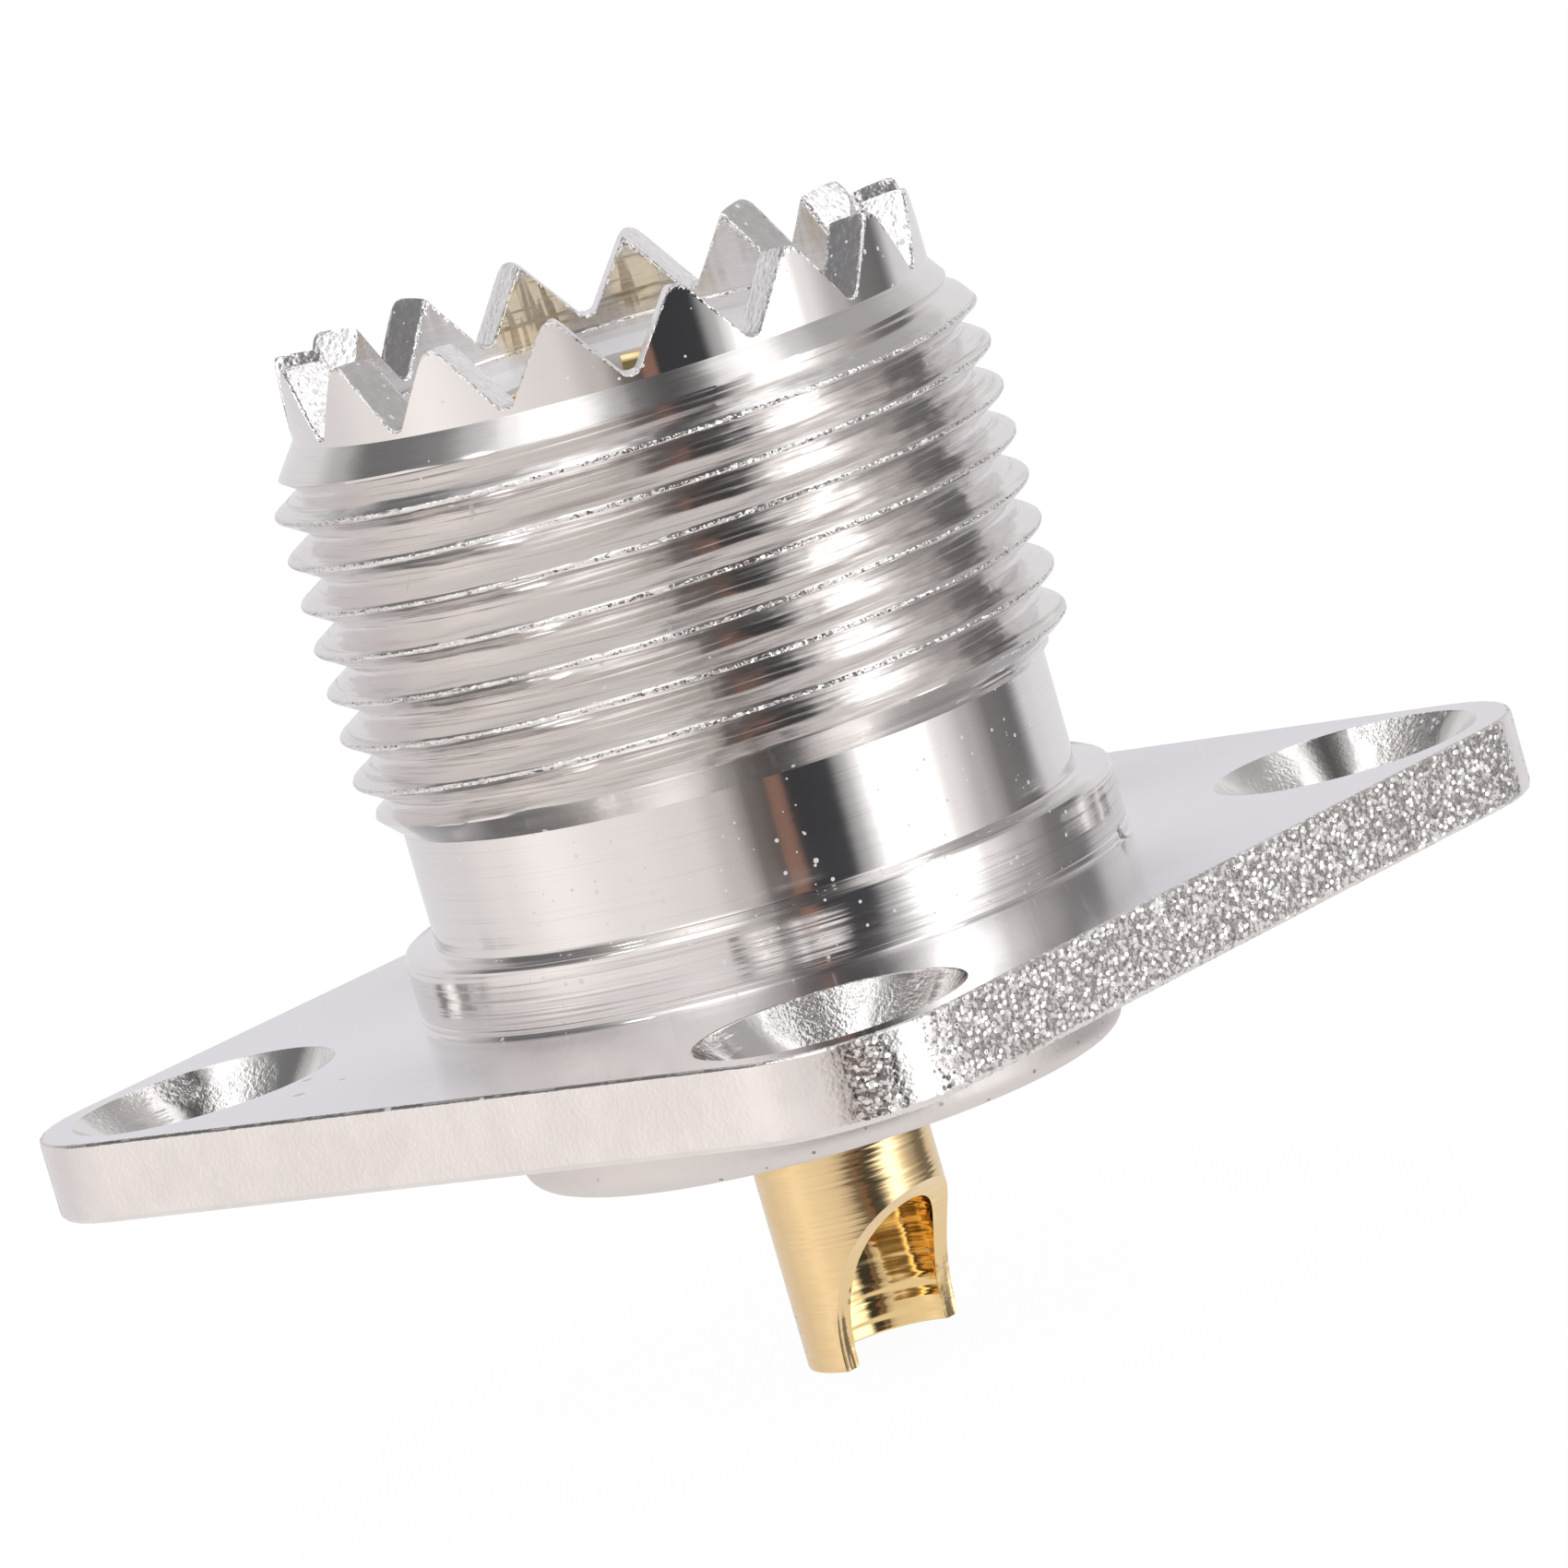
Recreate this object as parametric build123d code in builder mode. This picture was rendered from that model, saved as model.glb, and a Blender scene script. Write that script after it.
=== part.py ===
from build123d import *
import math
import os

os.makedirs("parts", exist_ok=True)

# The jack stands on its barrel axis: +Z points to the mating end, and the origin is the
# centre of the flange's rear face. All sizes are in millimetres.

# Square mounting flange with its four screw holes
hole_spacing = 18.26
hole_edge_distance = 3.57
hole_rows = 2
screw_hole_diameter = 3.3
countersink_diameter = 5.9
countersink_angle = 90
flange_thickness = 1.8
flange_corner_radius = 3.2
flange_edge_round = 0.15

# Coupling thread, right-handed, on the front of the barrel
thread_diameter = 15.9
thread_pitch = 1.0
thread_depth = 0.64
thread_crest_flat = 0.1
thread_root_flat = 0.1
thread_length = 8.8
thread_rear_bevel_angle = 45
thread_front_bevel_angle = 36
groove_start_angle = 30
groove_run_in = 1.75
groove_overshoot = 0.05

# Neck behind the thread, turned below its root, and the collar at the neck's foot
neck_undercut = 0.11
neck_length = 2.65
collar_step = 0.75
collar_height = 1.55
collar_chamfer = 0.12

# Crown of V notches around the mouth, also turned below the thread's root
crown_undercut = 0.21
crown_height = 1.7
notch_count = 16
notch_depth = 1.5
notch_half_angle = 34
notch_root_width = 0.44
notch_root_round = 0.15
tooth_tip_round = 0.25

# Bore of the shell: walls of the crown and the neck, and the lips that hold the insulator
crown_wall = 1.05
mouth_bore_depth = 1.8
neck_wall = 1.0
front_lip_overhang = 0.4
front_lip_height = 0.35
rear_lip_overhang = 0.6
rear_lip_thickness = 0.5

# Rear boss around the insulator
boss_wall = 0.55
boss_height = 2.3
boss_edge_round = 0.45

# Centre contact: slotted socket in front, trapped collar, solder cup behind
socket_bore_diameter = 4.0
socket_wall = 0.7
socket_bore_depth = 9.0
socket_mouth_chamfer = 0.25
socket_slot_width = 0.5
socket_slot_length = 7.0
socket_slot_count = 4
socket_slot_angle = 45
socket_clearance = 0.15
contact_collar_step = 0.9
contact_collar_thickness = 1.2
contact_collar_height = 3.0
stem_diameter = 4.0
stem_length = 7.9
cup_wall = 0.45
cup_bore_depth = 4.6
cup_window_length = 3.54
cup_window_offset = 0.45
cup_cutter_radius = 3.5
drill_point_angle = 118

# Spare length by which cutting shapes pass the metal they cut
overrun = 1.0

# Heights along the axis
collar_top = flange_thickness + collar_height
thread_start = collar_top + neck_length
thread_end = thread_start + thread_length
crown_tip = thread_end + crown_height
notch_root = crown_tip - notch_depth
mouth_floor = crown_tip - mouth_bore_depth
insulator_front = mouth_floor - front_lip_height
boss_end = -boss_height
insulator_rear = boss_end + rear_lip_thickness
contact_collar_front = contact_collar_height + contact_collar_thickness
stem_end = -stem_length

# Radii of the shell, worked inwards from the thread
thread_radius = thread_diameter / 2
groove_root_radius = thread_radius - thread_depth
neck_radius = groove_root_radius - neck_undercut
collar_radius = neck_radius + collar_step
crown_radius = groove_root_radius - crown_undercut
mouth_bore_radius = crown_radius - crown_wall
insulator_radius = neck_radius - neck_wall
front_lip_bore_radius = insulator_radius - front_lip_overhang
rear_lip_bore_radius = insulator_radius - rear_lip_overhang
boss_radius = insulator_radius + boss_wall

# Radii of the contact, worked outwards from the socket's bore and inwards from the stem
socket_bore_radius = socket_bore_diameter / 2
socket_radius = socket_bore_radius + socket_wall
contact_collar_radius = socket_radius + contact_collar_step
stem_radius = stem_diameter / 2
cup_bore_radius = stem_radius - cup_wall


def drill_point(radius):
    """Length of the conical end that a drill leaves under a bore."""
    return radius / math.tan(math.radians(drill_point_angle / 2))


# Threaded barrel: the groove is cut inside a longer blank, and turning the neck, the two
# bevels and the crown then trims both of its ends
blank_top = crown_tip + overrun
groove_start = thread_start - groove_run_in
groove_length = math.floor((crown_tip - groove_start) / thread_pitch) * thread_pitch
groove_outer_half = (thread_pitch - thread_crest_flat) / 2
groove_root_half = thread_root_flat / 2
groove_flank_slope = (groove_outer_half - groove_root_half) / thread_depth
groove_mouth_half = groove_outer_half + groove_flank_slope * groove_overshoot
groove_depth = thread_depth + groove_overshoot
rear_bevel_slope = math.tan(math.radians(thread_rear_bevel_angle))
front_bevel_slope = math.tan(math.radians(thread_front_bevel_angle))
bevel_radius = thread_radius + groove_overshoot
rear_bevel_top = thread_start + (bevel_radius - neck_radius) / rear_bevel_slope
front_bevel_foot = thread_end - (bevel_radius - crown_radius) / front_bevel_slope
swarf_radius = thread_radius + overrun

with BuildPart() as barrel:
    with BuildSketch(Plane.XY):
        Circle(thread_radius)
    extrude(amount=blank_top)
    with BuildLine(Plane.XY.rotated((0, 0, groove_start_angle))) as groove_path:
        Helix(thread_pitch, groove_length, groove_root_radius, center=(0, 0, groove_start))
    groove_plane = Plane(
        origin=groove_path.line @ 0,
        x_dir=Vector(1, 0, 0).rotate(Axis.Z, groove_start_angle),
        z_dir=groove_path.line % 0,
    )
    with BuildSketch(groove_plane) as groove_profile:
        Polygon(
            (0, groove_root_half),
            (0, -groove_root_half),
            (groove_depth, -groove_mouth_half),
            (groove_depth, groove_mouth_half),
            align=None,
        )
    sweep(groove_profile.sketch, path=groove_path.line, is_frenet=True, mode=Mode.SUBTRACT)
    with BuildSketch(Plane.XZ):
        Polygon(
            (neck_radius, -overrun),
            (neck_radius, thread_start),
            (bevel_radius, rear_bevel_top),
            (bevel_radius, front_bevel_foot),
            (crown_radius, thread_end),
            (crown_radius, blank_top + overrun),
            (swarf_radius, blank_top + overrun),
            (swarf_radius, -overrun),
            align=None,
        )
    revolve(axis=Axis.Z, mode=Mode.SUBTRACT)

# One notch of the crown, cut straight outwards: V flanks, a rounded root, and wings that
# round and level the tips of the teeth on both sides
notch_root_half = notch_root_width / 2
notch_slope = math.tan(math.radians(notch_half_angle))
notch_mouth_half = notch_root_half + notch_depth * notch_slope
notch_wing_half = crown_radius * math.tan(math.pi / notch_count) + tooth_tip_round
notch_top = blank_top + overrun
cutter_start = mouth_bore_radius / 2

with BuildPart() as notch_cutter:
    with BuildSketch(Plane.YZ.offset(cutter_start)) as notch_profile:
        Polygon(
            (-notch_wing_half, notch_top),
            (-notch_wing_half, crown_tip),
            (-notch_mouth_half, crown_tip),
            (-notch_root_half, notch_root),
            (notch_root_half, notch_root),
            (notch_mouth_half, crown_tip),
            (notch_wing_half, crown_tip),
            (notch_wing_half, notch_top),
            align=None,
        )
        fillet(notch_profile.vertices().group_by(Axis.Y)[0], radius=notch_root_round)
        tip_corners = notch_profile.vertices().group_by(Axis.Y)[-2].sort_by(Axis.X)
        fillet(tip_corners[1:-1], radius=tooth_tip_round)
    extrude(amount=crown_radius + overrun - cutter_start)

# Shell: flange, collar, barrel, crown and rear boss in one piece of plated metal
flange_side = hole_spacing + 2 * hole_edge_distance

with BuildPart() as shell:
    with BuildSketch(Plane.XY):
        RectangleRounded(flange_side, flange_side, flange_corner_radius)
    extrude(amount=flange_thickness)
    flange_levels = shell.edges().group_by(Axis.Z)
    fillet(flange_levels[0] + flange_levels[-1], radius=flange_edge_round)
    with BuildSketch(Plane.XY.offset(flange_thickness)):
        Circle(collar_radius)
    extrude(amount=collar_height)
    chamfer(shell.edges().group_by(Axis.Z)[-1], length=collar_chamfer)
    with BuildSketch(Plane.XY):
        Circle(boss_radius)
    extrude(amount=-boss_height)
    fillet(shell.edges().group_by(Axis.Z)[0], radius=boss_edge_round)
    add(barrel.part)
    with BuildSketch(Plane.XZ):
        Polygon(
            (0, boss_end - overrun),
            (rear_lip_bore_radius, boss_end - overrun),
            (rear_lip_bore_radius, insulator_rear),
            (insulator_radius, insulator_rear),
            (insulator_radius, insulator_front),
            (front_lip_bore_radius, insulator_front),
            (front_lip_bore_radius, mouth_floor),
            (mouth_bore_radius, mouth_floor),
            (mouth_bore_radius, blank_top + overrun),
            (0, blank_top + overrun),
            align=None,
        )
    revolve(axis=Axis.Z, mode=Mode.SUBTRACT)
    with PolarLocations(0, notch_count):
        add(notch_cutter.part, mode=Mode.SUBTRACT)
    with Locations(Plane.XY.offset(flange_thickness)):
        with GridLocations(hole_spacing, hole_spacing, hole_rows, hole_rows):
            CounterSinkHole(
                radius=screw_hole_diameter / 2,
                counter_sink_radius=countersink_diameter / 2,
                depth=flange_thickness,
                counter_sink_angle=countersink_angle,
            )
shell.part.label = "shell"
export_step(shell.part, "parts/shell.step")

# Front insulator: fills the barrel from the front lip to the contact's collar
with BuildPart() as front_insulator:
    with BuildSketch(Plane.XY.offset(contact_collar_height)):
        Circle(insulator_radius)
    extrude(amount=insulator_front - contact_collar_height)
    with BuildSketch(Plane.XY.offset(contact_collar_height)):
        Circle(contact_collar_radius)
    extrude(amount=contact_collar_thickness, mode=Mode.SUBTRACT)
    with BuildSketch(Plane.XY.offset(contact_collar_front)):
        Circle(socket_radius + socket_clearance)
    extrude(amount=insulator_front - contact_collar_front, mode=Mode.SUBTRACT)
front_insulator.part.label = "front_insulator"
export_step(front_insulator.part, "parts/front_insulator.step")

# Rear insulator: between the rolled rear lip and the contact's collar
with BuildPart() as rear_insulator:
    with BuildSketch(Plane.XY.offset(insulator_rear)):
        Circle(insulator_radius)
        Circle(stem_radius, mode=Mode.SUBTRACT)
    extrude(amount=contact_collar_height - insulator_rear)
rear_insulator.part.label = "rear_insulator"
export_step(rear_insulator.part, "parts/rear_insulator.step")

# Centre contact, turned in one piece and then slotted and milled
socket_floor = insulator_front - socket_bore_depth
cup_floor = stem_end + cup_bore_depth
cup_cutter_x = cup_window_offset + cup_cutter_radius
cup_window_top = stem_end + cup_window_length
cup_cutter_drop = math.sqrt(cup_cutter_radius**2 - (cup_cutter_x - stem_radius) ** 2)
cup_cutter_height = cup_window_top - cup_cutter_drop

with BuildPart() as centre_contact:
    with BuildSketch(Plane.XZ):
        Polygon(
            (0, stem_end),
            (stem_radius, stem_end),
            (stem_radius, contact_collar_height),
            (contact_collar_radius, contact_collar_height),
            (contact_collar_radius, contact_collar_front),
            (socket_radius, contact_collar_front),
            (socket_radius, insulator_front),
            (0, insulator_front),
            align=None,
        )
    revolve(axis=Axis.Z)
    with BuildSketch(Plane.XZ):
        Polygon(
            (0, socket_floor - drill_point(socket_bore_radius)),
            (socket_bore_radius, socket_floor),
            (socket_bore_radius, insulator_front - socket_mouth_chamfer),
            (socket_bore_radius + socket_mouth_chamfer, insulator_front),
            (socket_bore_radius + socket_mouth_chamfer, insulator_front + overrun),
            (0, insulator_front + overrun),
            align=None,
        )
        Polygon(
            (0, stem_end - overrun),
            (cup_bore_radius, stem_end - overrun),
            (cup_bore_radius, cup_floor),
            (0, cup_floor + drill_point(cup_bore_radius)),
            align=None,
        )
    revolve(axis=Axis.Z, mode=Mode.SUBTRACT)
    with BuildSketch(Plane.XY.offset(insulator_front + overrun)):
        with PolarLocations(socket_radius, socket_slot_count, start_angle=socket_slot_angle):
            Rectangle(2 * socket_radius, socket_slot_width)
    extrude(amount=-socket_slot_length - overrun, mode=Mode.SUBTRACT)
    with BuildSketch(Plane.XZ) as cup_window:
        with Locations((cup_cutter_x, cup_cutter_height)):
            Circle(cup_cutter_radius)
        Polygon(
            (cup_window_offset, cup_cutter_height),
            (cup_window_offset, stem_end - overrun),
            (cup_cutter_x, stem_end - overrun),
            (cup_cutter_x, cup_cutter_height),
            align=None,
        )
    extrude(amount=stem_diameter, both=True, mode=Mode.SUBTRACT)
centre_contact.part.label = "centre_contact"
export_step(centre_contact.part, "parts/centre_contact.step")
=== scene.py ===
import bmesh
import bpy
import itertools
import math
import numpy as np
from mathutils import Matrix, Vector


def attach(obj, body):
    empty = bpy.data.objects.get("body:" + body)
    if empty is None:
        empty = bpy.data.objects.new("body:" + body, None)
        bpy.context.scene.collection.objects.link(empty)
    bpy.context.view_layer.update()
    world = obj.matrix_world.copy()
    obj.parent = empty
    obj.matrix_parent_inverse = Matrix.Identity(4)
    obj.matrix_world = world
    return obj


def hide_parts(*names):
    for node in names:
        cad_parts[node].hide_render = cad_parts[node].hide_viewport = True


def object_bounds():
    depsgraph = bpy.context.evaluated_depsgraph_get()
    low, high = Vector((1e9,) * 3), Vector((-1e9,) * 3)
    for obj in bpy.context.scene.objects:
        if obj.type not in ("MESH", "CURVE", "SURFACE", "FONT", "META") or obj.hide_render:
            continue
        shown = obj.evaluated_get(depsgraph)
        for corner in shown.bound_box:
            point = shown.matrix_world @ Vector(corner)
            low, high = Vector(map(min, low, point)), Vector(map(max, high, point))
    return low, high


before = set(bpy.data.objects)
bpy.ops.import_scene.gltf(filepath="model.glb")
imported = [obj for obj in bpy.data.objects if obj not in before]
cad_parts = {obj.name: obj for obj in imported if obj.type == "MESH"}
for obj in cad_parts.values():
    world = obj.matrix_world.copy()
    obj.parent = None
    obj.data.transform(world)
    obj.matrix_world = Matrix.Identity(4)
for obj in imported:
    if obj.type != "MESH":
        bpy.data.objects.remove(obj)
cad_low, cad_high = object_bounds()

MM = 0.001
TURN = 2 * math.pi

# Sizes in millimetres and angles in degrees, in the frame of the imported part
flange_half = 12.7
flange_top = 1.8
corner_radius = 3.2
flange_side_top = 1.65
# the flange's two edges as steps of (inset, height), and the heights of its burred line
LOWER_EDGE = ((0.15, 0.0), (0.075, 0.02), (0.02, 0.075), (0.0, 0.15))
UPPER_EDGE = ((0.0, 1.72), (0.012, 1.757), (0.035, 1.782), (0.065, 1.796), (0.1, 1.8))
BURRED_LINE = (1.77, 1.79)
hole_offset = 9.13
hole_radius = 1.65
sink_radius = 2.95
sink_floor = 0.5
collar_radius = 7.95
collar_top = 3.35
groove_height = 2.0
groove_depth = 0.03
neck_radius = 7.2
thread_start = 6.0
thread_end = 14.8
crest_radius = 7.95
root_radius = 7.31
pitch = 1.0
crest_height = 4.666
crest_half_flat = 0.05
flank_width = 0.4
crest_reach = 0.06
crest_wear = 0.018
thread_turns = 11
rear_slope = 1.0
front_slope = math.tan(math.radians(36))
crown_radius = 7.1
mouth_radius = 6.05
mouth_floor = 14.7
crown_tip = 16.5
crown_rim = 0.05
crown_burr = 0.012
notch_root = 14.96
notch_root_half = 0.13
notch_tip_half = 1.23
notch_root_soft = 0.08
crown_tip_soft = 0.20
notch_count = 16
lip_radius = 5.8
insulator_radius = 6.2
insulator_front = 14.35
insulator_rear = -1.8
rear_lip_radius = 5.6
boss_radius = 6.75
boss_end = -2.3
boss_round = 0.45
stem_radius = 2.0
stem_end = -7.9
contact_collar_radius = 3.6
contact_collar_rear = 3.0
contact_collar_front = 4.2
socket_radius = 2.7
socket_bore = 2.0
socket_floor = 5.35
tip_chamfer = 0.35
tip_round = 0.15
slot_half_width = 0.25
slot_length = 7.0
slot_reach = 3.2
drill_half_angle = 59
cup_bore = 1.55
cup_floor = -3.3
window_offset = 0.17
window_cutter = 4.15
window_deepest = -7.8
window_half_width = 4.0
merge_distance = 0.0004
shortest_edge = 0.0002
sharp_degrees = 32

# Rows of the thread's sheet, in pitches from a crest to the next
THREAD_ROWS = (
    0, .03, .055, .09, .13, .18, .24, .30, .36, .41, .45, .5,
    .55, .59, .64, .70, .76, .82, .87, .91, .945, .97,
)
# Steps over the crown's edges, as (distance from the wall, drop, burr)
CROWN_EDGE = ((0.015, 0.015, 1.0), (0.05, 0.0, 1.0), (0.10, 0.0, 0.15))
CORNERS = ((1, 1), (-1, 1), (-1, -1), (1, -1))


# ---- mesh helpers -------------------------------------------------------------------------

def object_from(name, verts, faces, marks=None):
    """A mesh object from points in millimetres, with a material index per face."""
    mesh = bpy.data.meshes.new(name)
    mesh.from_pydata([[c * MM for c in v] for v in verts], [], faces)
    if marks is not None:
        mesh.polygons.foreach_set("material_index", marks)
    obj = bpy.data.objects.new(name, mesh)
    bpy.context.scene.collection.objects.link(obj)
    return obj


def columns():
    """Angles round the axis, closer together at the corners of the crown's notches."""
    half = [0, 1.2, 1.75, 2.3, 3.9, 6.0, 8.1, 9.3, 10.0, 10.6]
    cell = 360 / notch_count
    steps = half + [cell / 2] + [cell - a for a in reversed(half[1:])]
    return np.radians([k * cell + a for k in range(notch_count) for a in steps])


def thread_radius(u):
    """Radius of the thread's rounded V profile at a phase, in pitches from the crest."""
    total = np.zeros(len(u))
    offsets = np.linspace(-crest_half_flat, crest_half_flat, 9)
    for s in offsets:
        a = np.abs((u + s + 0.5) % 1.0 - 0.5)
        down = (a - crest_half_flat) / flank_width * (crest_radius - root_radius)
        total += np.clip(crest_radius - down, root_radius, crest_radius)
    return total / len(offsets)


def notch_height(phi, rho):
    """Height of the crown's top at an angle and a radius: V notches cut straight outwards."""
    cell = TURN / notch_count
    off = (phi + cell / 2) % cell - cell / 2
    y = np.abs(rho * np.sin(off))
    slope = (notch_tip_half - notch_root_half) / (crown_tip - notch_root)
    flank = notch_root + (y - notch_root_half) / slope
    low = soft_max(flank, notch_root, notch_root_soft)
    return soft_min(low, crown_tip, crown_tip_soft)


def soft_max(a, b, width):
    """The larger value, with the corner between the two rounded."""
    d = np.clip(1 - np.abs(a - b) / width, 0, 1)
    return np.maximum(a, b) + d * d * width / 4


def soft_min(a, b, width):
    return -soft_max(-a, -b, width)


phis = columns()
count = len(phis)


class Shell:
    """Collects rings of points and the quads between them."""

    def __init__(self):
        self.verts, self.faces, self.marks, self.phase, self.edge = [], [], [], [], []

    def ring(self, radius, height, phase=0.0, edge=0.0):
        radius = np.broadcast_to(radius, (count,))
        height = np.broadcast_to(height, (count,))
        edge = np.broadcast_to(edge, (count,))
        first = len(self.verts)
        for p, r, z, e in zip(phis, radius, height, edge):
            self.verts.append((r * math.cos(p), r * math.sin(p), z))
            self.phase.append(phase)
            self.edge.append(e)
        return first

    def face(self, corners, mark):
        self.faces.append(corners)
        self.marks.append(mark)

    def bridge(self, a, b, mark, n=None):
        """Quads between two closed rings of n points, by default one for each column."""
        n = n or count
        for i in range(n):
            j = (i + 1) % n
            self.face((a + i, a + j, b + j, b + i), mark)

    def lathe(self, profile, mark, start=None):
        """Rings through (radius, height) pairs, joined to a start ring; returns the ends."""
        rings = [] if start is None else [start]
        rings += [self.ring(r, z) for r, z in profile]
        for a, b in zip(rings, rings[1:]):
            self.bridge(a, b, mark)
        return rings[0], rings[-1]

    def loose(self, points, edge=0.0):
        """Points outside the ring grid, such as the flange's outline."""
        first = len(self.verts)
        self.verts += points
        self.phase += [0.0] * len(points)
        self.edge += [edge] * len(points)
        return first


NECK, FACE, CAST, MILLED, SINK, BORE, THREAD, COLLAR, BOSS, CROWN = range(10)


def arc(cx, cz, radius, start, end, steps):
    """Points of an arc in the (radius, height) plane, in degrees."""
    return [
        (cx + radius * math.cos(math.radians(start + (end - start) * k / steps)),
         cz + radius * math.sin(math.radians(start + (end - start) * k / steps)))
        for k in range(steps + 1)
    ]


def spread(a, b, steps):
    """Evenly spaced points from a to b."""
    a, b = np.array(a), np.array(b)
    return [tuple(a + (b - a) * k / steps) for k in range(steps + 1)]


def smooth_random(rng, n):
    """Random numbers round a ring, a little correlated."""
    raw = rng.normal(size=n)
    return (raw + 0.6 * np.roll(raw, 1) + 0.6 * np.roll(raw, -1)) / 1.3


def add_foot(s):
    """Collar with a small fillet and a turned groove, its land, and the neck."""
    outer = [
        (collar_radius + 0.10, flange_top), (collar_radius + 0.04, flange_top + 0.02),
        (collar_radius, flange_top + 0.07), (collar_radius, groove_height - 0.03),
        (collar_radius - groove_depth, groove_height),
        (collar_radius - groove_depth, groove_height + 0.03),
        (collar_radius, groove_height + 0.06),
    ]
    outer += spread((collar_radius, groove_height + 0.15), (collar_radius, collar_top - 0.15), 4)
    outer += [
        (collar_radius - 0.01, collar_top - 0.08), (collar_radius - 0.05, collar_top - 0.03),
        (collar_radius - 0.12, collar_top), (neck_radius + 0.14, collar_top),
        (neck_radius + 0.07, collar_top + 0.01), (neck_radius + 0.02, collar_top + 0.05),
        (neck_radius, collar_top + 0.11),
    ]
    foot, land = s.lathe(outer, COLLAR)
    wall = spread((neck_radius, collar_top + 0.25), (neck_radius, thread_start), 6)
    s.lathe(wall, NECK, land)
    return foot


def add_thread(s, rng):
    """Coupling thread, as a sheet whose rows follow the helix."""
    per = len(THREAD_ROWS)
    grid = []
    for k in range(thread_turns):
        for u in THREAD_ROWS:
            z = crest_height + (k + u) * pitch + phis / TURN * pitch
            r = thread_radius(np.full(count, u))
            from_crest = min(u, 1 - u)
            if from_crest < crest_reach:
                worn = (1 - from_crest / crest_reach) * crest_wear
                r = r - worn * np.abs(smooth_random(rng, count))
            z = np.clip(z, thread_start, thread_end)
            r = np.minimum(r, neck_radius + (z - thread_start) * rear_slope)
            r = np.minimum(r, crown_radius + (thread_end - z) * front_slope)
            r = np.where(z <= thread_start, neck_radius, r)
            r = np.where(z >= thread_end, crown_radius, r)
            edge = (r > crest_radius - 0.1) * float(from_crest < 0.05)
            grid.append(s.ring(r, z, u, edge))
    for row in range(len(grid) - 1):
        here, above = grid[row], grid[row + 1]
        for i in range(count - 1):
            s.face((here + i, here + i + 1, above + i + 1, above + i), THREAD)
        if row + 1 + per < len(grid):
            # a row's end meets the start of the row one turn further on
            last = count - 1
            s.face((here + last, grid[row + per], grid[row + 1 + per], above + last), THREAD)


def add_burrs(s, rng, last, radius, side, steps):
    """Burred edge of the crown, from a wall at a radius outwards (1) or inwards (-1)."""
    for distance, drop, burr in steps:
        jitter = crown_burr * smooth_random(rng, count) * (burr == 1.0)
        rho = radius + side * distance
        top = notch_height(phis, rho) - drop - np.abs(jitter)
        ring = s.ring(rho, top, edge=burr)
        s.bridge(last, ring, MILLED)
        last = ring
    return last


def add_crown(s, rng):
    """Crown: outer wall, burred edges with the notches between, and inner wall."""
    top = notch_height(phis, crown_radius) - crown_rim
    walls = [s.ring(crown_radius, thread_end + (top - thread_end) * t) for t in (0, 0.3, 0.6, 0.93)]
    walls.append(s.ring(crown_radius, top, edge=0.6))
    for a, b in zip(walls, walls[1:]):
        s.bridge(a, b, CROWN)
    last = add_burrs(s, rng, walls[-1], crown_radius, -1, CROWN_EDGE)
    for t in np.linspace(0.25, 0.78, 4):
        rho = crown_radius + (mouth_radius - crown_radius) * t
        ring = s.ring(rho, notch_height(phis, rho))
        s.bridge(last, ring, MILLED)
        last = ring
    last = add_burrs(s, rng, last, mouth_radius, 1, reversed(CROWN_EDGE))
    top = notch_height(phis, mouth_radius) - crown_rim
    for t, burr in [(0, 0.8), (0.10, 0.0), (0.4, 0.0), (0.7, 0.0)]:
        ring = s.ring(mouth_radius, top + (mouth_floor - top) * t, edge=burr)
        s.bridge(last, ring, BORE)
        last = ring
    return last


def add_bore(s, last):
    """Front lip, bore round the insulators and rear lip."""
    inner = [(mouth_radius, mouth_floor), (lip_radius + 0.05, mouth_floor)]
    _, last = s.lathe(inner, BORE, last)
    rim = s.ring(lip_radius, mouth_floor - 0.03, edge=1.0)
    s.bridge(last, rim, BORE)
    inner = [
        (lip_radius, mouth_floor - 0.08), (lip_radius, insulator_front),
        (insulator_radius, insulator_front), (insulator_radius, insulator_rear),
        (rear_lip_radius, insulator_rear), (rear_lip_radius, boss_end + 0.08),
        (rear_lip_radius + 0.08, boss_end),
    ]
    _, last = s.lathe(inner, BORE, rim)
    return last


def add_boss(s, last):
    """Rear boss with its rounded rim."""
    flat_end = boss_radius - boss_round
    rim = [(5.95, boss_end), (flat_end, boss_end)]
    rim += arc(flat_end, boss_end + boss_round, boss_round, -75, 0, 5)
    rim += spread((boss_radius, -1.4), (boss_radius, 0.0), 3)
    _, boss_foot = s.lathe(rim, BOSS, last)
    return boss_foot


def build_shell():
    """The turned forms, with the rings where the collar and the boss meet the flange."""
    s = Shell()
    rng = np.random.default_rng(7)
    foot = add_foot(s)
    add_thread(s, rng)
    last = add_crown(s, rng)
    last = add_bore(s, last)
    return s, foot, add_boss(s, last)


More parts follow.
